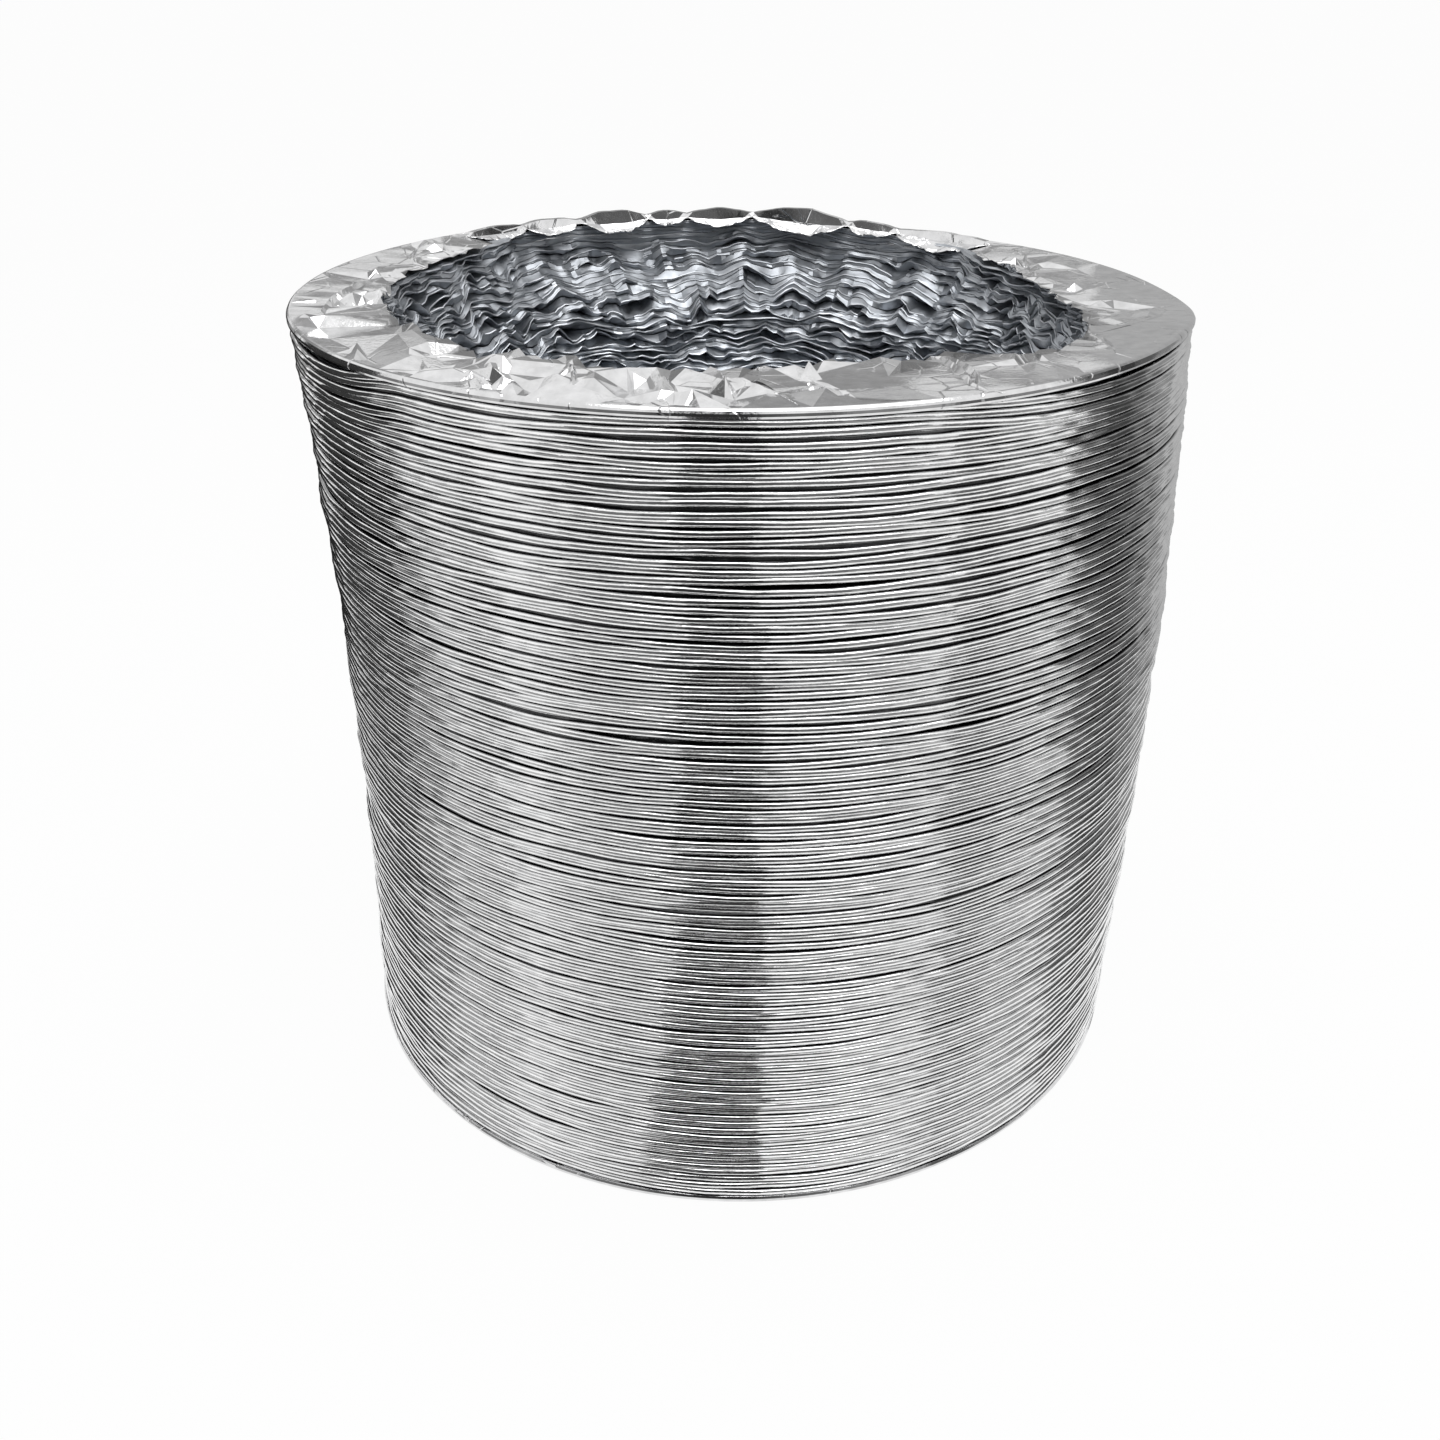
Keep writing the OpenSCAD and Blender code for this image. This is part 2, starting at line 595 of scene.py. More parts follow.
def wire_tree():
    """Round rings of wire that follow the same wobble as the ribs."""
    t = ShapeNodes("spring_wire")
    rings = t.node("GeometryNodeMeshLine", {"Count": t.get("Turns"), "Offset": t.vector(0, 0, 1)})
    ring = t.node("GeometryNodeCurvePrimitiveCircle", {"Resolution": t.get("Around"), "Radius": 1.0})
    placed = t.node("GeometryNodeInstanceOnPoints", {"Points": rings, "Instance": ring})
    curves = t.node("GeometryNodeRealizeInstances", {"Geometry": placed})
    position = t.tree.nodes.new("ShaderNodeSeparateXYZ")
    t.put(position.inputs[0], t.node("GeometryNodeInputPosition"))
    x, y, z = position.outputs
    theta = t.math("ARCTAN2", y, x)
    turn = t.math("ROUND", z)
    level = t.add(t.get("First turn"), turn)
    height = t.add(t.get("First height"), t.times(level, t.get("Pitch")))
    where = winding_place(t, level, theta, t.get("Axis radius"), height)
    shaped = t.node("GeometryNodeSetPosition", {"Geometry": curves, "Position": where})
    shaped = t.keep(shaped, "share", t.math("DIVIDE", t.add(turn, 0.5), t.get("Turns")))
    side = t.node(
        "GeometryNodeCurvePrimitiveCircle", {"Resolution": WIRE_SIDES, "Radius": t.get("Tube radius")},
    )
    return t.finish(t.node("GeometryNodeCurveToMesh", {"Curve": shaped, "Profile Curve": side}))


def grown(name, tree, values):
    """The plain mesh that a tree makes with these inputs."""
    host = add_object(name + "_host", bpy.data.meshes.new(name + "_host"))
    modifier = host.modifiers.new(name, "NODES")
    modifier.node_group = tree
    for socket in tree.interface.items_tree:
        if socket.in_out == "INPUT" and socket.name in values:
            modifier[socket.identifier] = values[socket.name]
    evaluated = host.evaluated_get(bpy.context.evaluated_depsgraph_get())
    mesh = bpy.data.meshes.new_from_object(evaluated)
    mesh.name = name
    host.modifiers.remove(modifier)
    bpy.data.objects.remove(host)
    return mesh


def winding_inputs(first_turn, tube_r, around, material):
    """What goes into a winding's tree, by the names of its inputs."""
    sizes = bpy.context.scene.duct_sizes
    axis_r = SLEEVE_R - SLEEVE_HALF - STRAY_ROOM
    return {
        "Turns": SECTION_TURNS, "First turn": first_turn, "Around": around, "Seed": sizes.seed,
        "Pitch": PITCH, "First height": FIRST_TURN_Z, "Axis radius": axis_r, "Tube radius": tube_r,
        "Groove radius": SLEEVE_R - sizes.groove_depth, "Wobble up": sizes.wobble_up,
        "Wobble out": sizes.wobble_out, "Drift": sizes.drift, "Material": material,
        "Last turn": float(LAST_TURN), "Left slot": sizes.left_slot, "Right slot": sizes.right_slot,
        "Lean": sizes.lean, "Sag": sizes.sag,
    }


def ride_section(piece, k, shares):
    """Attaches the top section's pieces to its body, which has no pull joint above it. The pieces of the
    other sections go through blend_by_share.
    """
    if k < SECTIONS:
        blend_by_share(piece, shares)
    else:
        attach(piece, section_body(k))


# Materials


# Clouds on the foil: part of the noise that they span, their darkest and lightest tone, and their least and
# most roughness, as shares of the foil's
CLOUD_SPAN = (0.3, 0.7)
CLOUD_TONES = (0.86, 1.1)
CLOUD_ROUGHNESS = (0.6, 1.5)
# Wrinkles: how much finer than the clouds, and how deep
WRINKLES_FINER = 4
WRINKLE_DEPTH = 0.2 * MM
# Creases: half their width and the size of the patches without any, both as shares of the space between two,
# and the part of the noise over which a patch begins
CREASE_HALF = 0.03
PATCH_SCALE = 0.6
PATCH_SPAN = (0.47, 0.53)
# Share of the grooves' shade that is left on pulled-out foil
THIN_SHADE = 0.4
WHITE = (1, 1, 1, 1)


class MaterialNodes(Nodes):
    """The same for a new material, with the inputs of its shader."""

    def __init__(self, name):
        self.material = bpy.data.materials.new(name)
        self.material.use_nodes = True
        super().__init__(self.material.node_tree)
        self.shader = self.tree.nodes["Principled BSDF"].inputs

    def so_far(self, name):
        """What goes into one of the shader's inputs, so that more can be laid over it."""
        return self.shader[name].links[0].from_socket


def foil_finish(name, colour, roughness, grain, streak=1, wrinkle=0.1):
    """Aluminium foil: faint cloudy tone, a roughness that varies, and fine wrinkles."""
    t = MaterialNodes(name)
    t.put(t.shader["Base Color"], (*colour, 1))
    t.put(t.shader["Roughness"], roughness)
    t.put(t.shader["Metallic"], 1)
    where = t.node("ShaderNodeTexCoord", out="Object")
    spread = t.node("ShaderNodeMapping", {"Vector": where, "Scale": (1, 1, streak)})
    cloud = t.node("ShaderNodeTexNoise", {"Vector": spread, "Scale": grain, "Detail": 6}, out="Fac")
    tone = t.tree.nodes.new("ShaderNodeValToRGB")
    for element, place, share in zip(tone.color_ramp.elements, CLOUD_SPAN, CLOUD_TONES):
        element.position = place
        element.color = (*[min(part * share, 1) for part in colour], 1)
    t.put(tone.inputs["Fac"], cloud)
    t.put(t.shader["Base Color"], tone.outputs["Color"])
    least, most = CLOUD_ROUGHNESS
    t.put(t.shader["Roughness"], t.fitted(cloud, (0, 1), (roughness * least, roughness * most)))
    fine = t.node(
        "ShaderNodeTexNoise", {"Vector": spread, "Scale": grain * WRINKLES_FINER, "Detail": 3}, out="Fac",
    )
    bump = t.node("ShaderNodeBump", {"Strength": wrinkle, "Distance": WRINKLE_DEPTH, "Height": fine})
    t.put(t.shader["Normal"], bump)
    return t


def shade_by(t, kept_name, span, colour, fade=None):
    """Mixes in a colour by a value that each point keeps: from none to all over the span, and back over fade
    to the thin shade that is left on pulled-out foil."""
    kept = t.node("ShaderNodeAttribute", settings={"attribute_name": kept_name}, out="Fac")
    amount = t.fitted(kept, span)
    if fade is not None:
        amount = t.math("MULTIPLY", amount, t.fitted(kept, fade, (1, THIN_SHADE)))
    mix = t.tree.nodes.new("ShaderNodeMix")
    mix.data_type = "RGBA"
    sockets = {socket.identifier: socket for socket in (*mix.inputs, *mix.outputs)}
    t.put(sockets["Factor_Float"], amount)
    t.put(sockets["A_Color"], t.so_far("Base Color"))
    t.put(sockets["B_Color"], (*colour, 1))
    t.put(t.shader["Base Color"], sockets["Result_Color"])


def add_creases(t, apart, depth):
    """Fine straight creases in patches."""
    where = t.node("ShaderNodeTexCoord", out="Object")
    edges = t.node(
        "ShaderNodeTexVoronoi", {"Vector": where, "Scale": 1 / apart}, {"feature": "DISTANCE_TO_EDGE"},
        out="Distance",
    )
    patches = t.node("ShaderNodeTexNoise", {"Vector": where, "Scale": PATCH_SCALE / apart}, out="Fac")
    line = t.math("MAXIMUM", t.fitted(edges, (0, CREASE_HALF)), t.fitted(patches, PATCH_SPAN))
    crease = t.node(
        "ShaderNodeBump", {"Strength": 1, "Distance": depth, "Height": line, "Normal": t.so_far("Normal")},
    )
    t.put(t.shader["Normal"], crease)


# Operators


SENSOR_WIDTH = 36
NEAREST_SEEN = 10 * MM


class DUCT_OT_camera(bpy.types.Operator):
    """Sets up the camera"""

    bl_idname = "duct.camera"
    bl_label = "Camera"

    def execute(self, context):
        stage = context.scene.duct_stage
        data = bpy.data.cameras.new("camera")
        data.sensor_width = SENSOR_WIDTH
        data.lens = stage.lens
        data.shift_x = stage.shift
        data.clip_start = NEAREST_SEEN
        camera = add_object("camera", data)
        camera.location = (0, -stage.away, DUCT_TOP + stage.above)
        camera.rotation_euler = (math.pi / 2 - stage.tilt, 0, 0)
        context.scene.camera = camera
        return {"FINISHED"}


def winding_pieces(name, tree, tube_r, around, material):
    """Makes a winding's pieces, and gives them out one by one with their sections' numbers."""
    for k in range(1, SECTIONS + 1):
        first_turn = (k - 1) * SECTION_TURNS
        mesh = grown(f"{name}_{k:02d}", tree, winding_inputs(first_turn, tube_r, around, material))
        piece = add_piece(mesh.name, mesh, material)
        ride_section(piece, k, point_values(mesh, "share"))
        yield k, piece


# Angles round a rib from its outermost line: where the groove's shade starts and is full, and where it
# thins out again on the foil behind, which shows only when pulled out
FLANK = np.radians((58, 104))
BEHIND = np.radians((106, 118))


class DUCT_OT_outer_walls(bpy.types.Operator):
    """Makes the ribbed foil wall of each section"""

    bl_idname = "duct.outer_walls"
    bl_label = "Outer walls"

    def execute(self, context):
        sizes, finish = context.scene.duct_sizes, context.scene.duct_finish
        foil = foil_finish("outer_foil", finish.outer, roughness=0.1, grain=260, streak=3)
        shade_by(foil, "rib_angle", FLANK, finish.groove, BEHIND)
        walls = winding_pieces(
            "outer_wall", wall_tree(), sizes.rib_r, sizes.around, foil.material,
        )
        for k, piece in walls:
            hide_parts(f"foil_section_{k:02d}")
        return {"FINISHED"}


class DUCT_OT_spring_wires(bpy.types.Operator):
    """Makes the spring wire sealed in each section's ribs"""

    bl_idname = "duct.spring_wires"
    bl_label = "Spring wires"

    def execute(self, context):
        sizes, finish = context.scene.duct_sizes, context.scene.duct_finish
        steel = foil_finish("spring_wire", finish.wire, roughness=0.3, grain=900)
        wires = winding_pieces(
            "spring_wire", wire_tree(), sizes.wire_r, WIRE_STEPS, steel.material,
        )
        for k, piece in wires:
            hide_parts(f"wire_coil_{k:02d}")
        return {"FINISHED"}


# How far the folds next to the top flare out to the edge of the end foil, as angle and mm
FLARE = (
    (0, 0), (20, 0), (40, 4), (47, 10), (54, 18), (62, 21), (122, 21), (130, 18), (137, 10), (143, 6),
    (156, 3), (190, 2), (219, 0), (306, 0), (312, 3), (318, 6), (327, 5), (338, 0),
)
# The folds below the top over which the flare grows, as numbers from the top, and the flare in mm at which
# no pocket would be left open
FLARE_FOLDS = (14, 2)
FLARE_SHUTS = 26
# Folds in one bundle, over and over
BUNDLES = (4, 6, 5, 3, 7, 4)
# Where the folds leave the ribs, half the thickness of a fold there, the size of the rounded lip of a crest,
# the gap over the last crest, and how far the last fold sits down from the end foil
FOLD_OUTER_R = SLEEVE_R - 3.0 * MM
FOLD_EDGE = 0.12 * MM
LIP = 0.2 * MM
END_GAP = 0.9 * MM
LAST_FOLD_DOWN = 0.5 * MM
# Least and most depth of a pocket, and how far in front of it its crest stays at least
POCKET_DEPTH = (0.4 * MM, 8 * MM)
CREST_FRONT = 0.3 * MM
# Height of a crumple that reaches over several folds
CRUMPLE_H = 9 * MM
# Share of a gap that a leaf leaves free at the bottom of its pocket, and at most for the lip of its crest
POCKET_CLEAR = 0.05
LIP_SHARE = 0.4


class FoldField:
    """The crumpled folds of the whole bore, worked out once: a crest and a pocket above it for each.
    Fold i lies between turns i and i + 1. Folds lie in bundles, with open pockets here and there."""

    def __init__(self, folds):
        self.count = LAST_TURN
        self.theta = np.arange(folds.around) / folds.around * math.tau
        self.rest = FIRST_TURN_Z + (np.arange(self.count) + 0.5) * PITCH
        self.rest[-1] -= LAST_FOLD_DOWN
        cells, seed = folds.cells, folds.seed
        around = np.tile(self.theta / math.tau * cells, (self.count, 1))
        fold = np.tile(np.arange(self.count)[:, None], (1, folds.around))
        shift = np.random.default_rng(seed).uniform(0, cells, (self.count, 1))

        def own(finer, key):
            """Its own zigzag line for each fold, from -1 to 1."""
            return facets(around * finer + shift * key, fold, finer * cells, seed + key)

        # Where the folds flare out at the top, their pockets are shut
        flare = np.interp(np.degrees(self.theta), *zip(*FLARE), period=360)
        flare = flare * ramp(fold, *(self.count - number for number in FLARE_FOLDS))
        # A fold with a pocket takes more of its bundle's height
        pockets = np.clip(own(1, 1) - folds.open_from, 0, 1) + 0.45 * np.clip(own(2, 2) - 0.4, 0, 1)
        self.crest = self.bundled(folds, around, folds.tight + 2.6 * pockets * (1 - flare / FLARE_SHUTS))
        gaps = np.diff(self.crest, axis=0)
        self.gap = np.concatenate([gaps, 0 * gaps[:1] + END_GAP])
        # Crumples that reach over several folds push their crests in and out
        b = self.crest / CRUMPLE_H
        a = around + 0.4 * swells(around / 2, b, cells // 2, seed + 20)
        push = facets(a, b, cells, seed + 21) + 0.4 * facets(a * 2, b * 2, 2 * cells, seed + 22)
        self.crest_r = CREST_R + folds.reach * (0.8 + push) + (0.9 * own(2, 3) + flare) * MM
        # The wider a gap, the deeper the pocket in it. The leaves swell up and down between both
        deep = np.clip((0.9 + 0.7 * own(1, 4)) * self.gap, *POCKET_DEPTH)
        self.pocket = self.crest + self.gap * (0.5 + 0.35 * own(1, 5))
        self.pocket_r = np.minimum(self.crest_r + deep, FOLD_OUTER_R - LIP)
        self.crest_r = np.minimum(self.crest_r, self.pocket_r - CREST_FRONT)
        self.swell = 0.3 * own(3, 6) * self.gap
        # How strongly each fold's crest is painted lighter, as a painted highlight
        self.shine = np.clip(0.45 + 0.75 * own(2, 7), 0, 1)

    def bundled(self, folds, around, weights):
        """Heights of the crests. Some folds stray as a bundle does, and the rest share what lies between."""
        edges = [0]
        while edges[-1] < self.count - 1:
            edges.append(min(edges[-1] + BUNDLES[len(edges) % len(BUNDLES)], self.count - 1))
        crest = np.empty(weights.shape)
        crest[0] = self.rest[0]
        for number, (low, high) in enumerate(zip(edges, edges[1:])):
            free = ramp(min(high, self.count - 1 - high), 0, 4)
            zigzag = facets(around[0] + 3.7 * number, 0 * around[0] + number, folds.cells, folds.seed + 30)
            crest[high] = self.rest[high] + folds.stray * free * zigzag
            steps = np.cumsum(weights[low:high], axis=0)
            crest[low + 1:high + 1] = crest[low] + (crest[high] - crest[low]) * steps / steps[-1]
        return crest

    def fold(self, i):
        """One closed fold: lower leaf going in, crest, and upper leaf going out."""
        below = max(i - 1, 0)
        low_gap, high_gap = self.gap[below], self.gap[i]
        low_pocket = self.pocket[below] if i else self.crest[0] - 0.5 * PITCH
        crest, crest_r, rest = self.crest[i], self.crest_r[i], self.rest[i]
        high_r, low_r = self.pocket_r[i], self.pocket_r[below]
        high_z, low_z = self.pocket[i] - POCKET_CLEAR * high_gap, low_pocket + POCKET_CLEAR * low_gap
        rows = (
            (FOLD_OUTER_R, rest + FOLD_EDGE),
            (high_r, high_z),
            ((high_r + crest_r) / 2, (high_z + crest) / 2 - np.abs(self.swell[i])),
            (crest_r + LIP, crest + np.minimum(LIP, LIP_SHARE * high_gap)),
            (crest_r, crest),
            (crest_r + LIP, crest - np.minimum(LIP, LIP_SHARE * low_gap)),
            ((low_r + crest_r) / 2, (low_z + crest) / 2 + self.swell[below]),
            (low_r, low_z),
            (FOLD_OUTER_R, rest - FOLD_EDGE),
        )
        return np.stack([self.ring(r, z) for r, z in rows])

    def ring(self, radius, height):
        """Points of one row, once the stack's lean and sag are added."""
        turn = (height - FIRST_TURN_Z) / PITCH + 0 * self.theta
        x = radius * np.cos(self.theta) + stack_lean(turn)
        y = radius * np.sin(self.theta)
        return np.stack([x, y, height - stack_sag(np.degrees(self.theta), turn)], axis=-1)


# For each row of a fold, in the order of FoldField.fold: its leaf, and how near the crest it lies, which sets
# how much painted highlight it gets
FOLD_SIDES = (1, 1, 1, 1, 0, -1, -1, -1, -1)
FOLD_CREST_HIGHLIGHTS = (0, 0, 0, 0.4, 1, 0.4, 0, 0, 0)
# Depth below the top at which the painted shade of the mouth starts, and at which it is full
MOUTH_SHADE_DEPTHS = (46 * MM, 12 * MM)
# Value at which the painted shade's colour would be all that shows. The foil's values stop at 1
MOUTH_SHADE_SPAN = (0, 2.2)
# Angle between faces, in degrees, from which a crease looks sharp: on a fold, and on an end's flat facets
FOLD_CREASE = 24
FACET_CREASE = 6


def mark_folds(mesh, shines):
    """Keeps two values for the colours: how strongly each point's crest gets its painted highlight, and how
    near the top it lies, for the painted shade there.
    """
    crests = np.concatenate([np.outer(FOLD_CREST_HIGHLIGHTS, shine).ravel() for shine in shines])
    # Painted shade near the top of the bore: 0 deep down, 1 next to the top
    near_top = ramp(point_places(mesh)[:, Z], *(DUCT_TOP - depth for depth in MOUTH_SHADE_DEPTHS))
    for name, values in {"crest": crests, "mouth_painted_shade": near_top}.items():
        mesh.attributes.new(name, "FLOAT", "POINT")
        mesh.attributes[name].data.foreach_set("value", values)


def creased(mesh, degrees):
    """Smooth shading that breaks where the foil is creased."""
    mesh.polygons.foreach_set("use_smooth", np.ones(len(mesh.polygons), bool))
    mesh.set_sharp_from_angle(angle=math.radians(degrees))


class DUCT_OT_inner_folds(bpy.types.Operator):
    """Makes the crumpled foil folds that line the bore"""

    bl_idname = "duct.inner_folds"
    bl_label = "Inner folds"

    def execute(self, context):
        folds, finish = context.scene.duct_folds, context.scene.duct_finish
        # Darker than the outer foil: painted shade for the dim bore
        foil = foil_finish("inner_foil", finish.inner, roughness=0.46, grain=420, wrinkle=0.2)
        # Painted highlight on the crests of the folds
        shade_by(foil, "crest", (0, 1), finish.crest)
        # Painted shade that darkens the bore's foil near the top
        shade_by(foil, "mouth_painted_shade", MOUTH_SHADE_SPAN, finish.mouth_painted_shade)
        self.field, self.material = FoldField(folds), foil.material
        for k in range(1, SECTIONS + 1):
            first = (k - 1) * SECTION_TURNS
            piece = self.folds_piece(f"inner_folds_{k:02d}", first, SECTION_TURNS - 1)
            shares = (np.arange(SECTION_TURNS - 1) + 1) / SECTION_TURNS
            ride_section(piece, k, np.repeat(shares, len(FOLD_SIDES) * folds.around))
            if k < SECTIONS:
                self.joining_pleat(k)
        return {"FINISHED"}

    def joining_pleat(self, k):
        """Makes the fold that joins a section to the next, in place of the construction pleat."""
        piece = self.folds_piece(f"joining_pleat_{k:02d}", k * SECTION_TURNS - 1, 1)
        shares = np.repeat((np.array(FOLD_SIDES) + 1) / 2, len(self.field.theta))
        blend_by_share(piece, shares)
        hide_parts(f"foil_pleat_{k:02d}")

    def folds_piece(self, name, first, count):
        """One piece of a few folds, each closed in itself."""
        rings = [self.field.fold(i) for i in range(first, first + count)]
        parts = [(ring.reshape(-1, 3), ring_faces(*ring.shape[:2])) for ring in rings]
        mesh = faces_mesh(name, *joined(parts))
        creased(mesh, FOLD_CREASE)
        mark_folds(mesh, self.field.shine[first:first + count])
        return add_piece(name, mesh, self.material)


# The foil folded in over the top. Angles are in degrees round the duct and lengths in mm.
# Its inner edge, as angle and radius, away from the torn stretch at the back
TOP_EDGE = (
    (0, 74), (20, 76), (40, 83), (48, 90), (136, 90), (141, 85), (156, 82), (172, 82), (190, 81),
    (205, 80), (219, 78), (229, 79), (236, 74), (248, 73), (255, 77), (260, 78), (266, 73), (277, 72),
    (285, 69), (292, 70), (297, 74), (306, 73), (311, 81), (318, 85), (327, 84), (338, 79), (350, 77),
)
BOTTOM_EDGE = ((0, 79),)
# The torn strips that are left at the back: from, to, width, rise over the rim, steep face and fall inward
STRIPS = (
    (47, 63, 7.0, 0.8, 2.2, 2.2), (63.5, 71.5, 4.8, 1.0, 2.2, 1.4), (72, 88, 7.4, 1.8, 3.8, 1.8),
    (88.5, 99, 6.0, 1.5, 3.2, 1.6), (99.5, 105.5, 5.0, 1.2, 2.6, 1.6), (106, 117.5, 6.4, 1.5, 3.2, 1.6),
    (118.5, 127.5, 6.0, 1.0, 2.6, 1.4), (128, 138, 5.4, 0.7, 2.0, 1.4),
)
# How far in from the rim the foil lies flat on the top turn, drops steeply, and is torn off
LEDGE = 1.85
STEEP = 2.35
STUB = 2.6
# Crumpled spots: angle, radius, reach and height
SPOTS = (
    (226, 88, 4, 0.9), (233, 97, 3.5, 1.0), (239, 97, 4, 1.1), (244, 94, 4.5, 1.2), (251, 92, 4.5, 1.2),
    (258, 84, 4.5, 1.2), (263, 95, 4, 0.8), (279, 80, 3.5, 1.2), (281, 92, 3, 0.6), (309, 88, 4, 0.7),
    (344, 91, 4, 0.3), (188, 86, 5, 0.8), (201, 97, 3, 0.6), (150, 92, 5, 0.8), (30, 85, 6, 0.8),
    (171, 88, 4, 0.6), (12, 81, 4, 0.6), (220, 97, 3, 0.8), (247, 84, 4, 1.0), (355, 83, 3, 0.5),
    (238, 86, 4, 0.8), (214, 84, 3, 0.7), (256, 96, 3, 0.9), (268, 86, 3.5, 0.9),
)
# Long creases: angle and radius of both ends, height, half width, and 1 for one folded over a slot
TUCKS = (
    (199, 95, 176, 87.5, 1.1, 0.9, 0), (268, 80, 274, 92, 0.7, 0.5, 1), (278.5, 82, 282, 96, 0.5, 0.4, 0),
    (301, 76, 296.5, 95, 0.9, 1.0, 1), (329, 84, 319.5, 96, 0.3, 0.4, 0),
    (340, 85, 352, 95, 0.2, 0.4, 0), (349, 96, 335, 90, 0.16, 0.3, 0), (161, 86, 151, 96, 0.5, 0.6, 0),
    (6, 80, 13, 95, 0.3, 0.6, 0), (21, 80, 36, 94, 0.4, 0.6, 0), (244, 76, 250, 90, 0.6, 0.6, 0),
    (180, 83, 190, 96, 0.3, 0.5, 0),
)
# The rim: radius of its top, radius of the round that it makes over the top turn, and steps round it
RIM_R = 100.95
RIM_TUBE = 1.05
RIM_STEPS = 360
# The cuff below the rim: its edge, tucked in under the top turn, as radius and height from the rim's top,
# and the angles of its points round the top turn
CUFF_EDGE = ((98.6, -1.9), (100.2, -1.75))
CUFF_ANGLES = (-45, -15, 15, 42, 68)
# The roughest side, in degrees, and how far from its middle it begins to be plainer and is plain
ROUGH_SIDE = 232
ROUGH_REACH = (35, 75)
# How far apart the facets' corners lie and how high they stray: on plain foil, what roughness adds to both,
# and on the torn stretch. On a spot they lie SPOT_APART from each other and stray by a multiple of its height
PLAIN_APART, PLAIN_STRAY = 9, 0.36
ROUGH_APART, ROUGH_STRAY = -1, 0.85
TORN_APART, TORN_STRAY = 1.5, 0.2
SPOT_APART, SPOT_STRAY = 1.6, 2.4
# Loose corners: how many places are tried, the most that are kept, their least radius, and how far they stay
# from both edges, as a share of their space
TRIES = 15000
MOST_CORNERS = 8000
LEAST_R = 66
EDGE_CLEAR = 0.3
# Inner edge: least step and what is added to it at random, in degrees, the steps that are one point where the
# edge isn't torn, how far the points stray in and out, torn and not, the degrees left free before the full
# circle, and how far the edge stays in from the steep face
EDGE_STEP, EDGE_STEP_MORE = 0.35, 0.4
PLAIN_EDGE_STEPS = 3
TORN_RAGGED, PLAIN_RAGGED = 0.6, 0.9
EDGE_CLOSE = 0.6
FACE_CLEAR = 0.1
# Tucks: space between two points of a row, bow as a share of the length, and rows, each as how far it lies
# to the side and how high
TUCK_STEP = 1.6
TUCK_BOW = 0.06
TUCK_ROWS = ((-1, 0), (0, 1), (1, 0))
SLOT_ROWS = ((-2, 0), (-1, 1), (0, -0.4), (1, 1), (2, 0))
# How far in from the rim the foil turns level, and how far it dips there and, further, at its inner edge
LEVEL_FROM = 3
DIP, INNER_DIP = 0.25, 0.5
# Share of its stray that the foil keeps under a tuck, and on the bottom, which the duct's weight presses flat
TUCK_STRAY = 0.2
BOTTOM_STRAY = 0.2
# Torn stretch: degrees between two points of its steep face, the face's height where nothing is left over it,
# width in degrees of the uneven bits along the strips, how uneven they are, and their random pattern
FACE_STEP = 0.8
TORN_DROP = 0.9
RAG_WIDTH = 2.6
RAG_SHARE = 0.3
RAG_PERIOD, RAG_SEED = 140, 5
FOIL_THICKNESS = 0.1 * MM
# For delaunay_2d_cdt: triangles over the whole ring, and how near two points count as one
WHOLE_RING = 0
SAME_POINT = 1e-7


def angles_of(points):
    return np.degrees(np.arctan2(points[:, Y], points[:, X]))


def radii_of(points):
    return np.hypot(points[:, X], points[:, Y])


def on_ring(degrees, radius):
    """Places at some angles and radii."""
    angle = np.radians(degrees)
    return np.stack([radius * np.cos(angle), radius * np.sin(angle)], axis=-1)


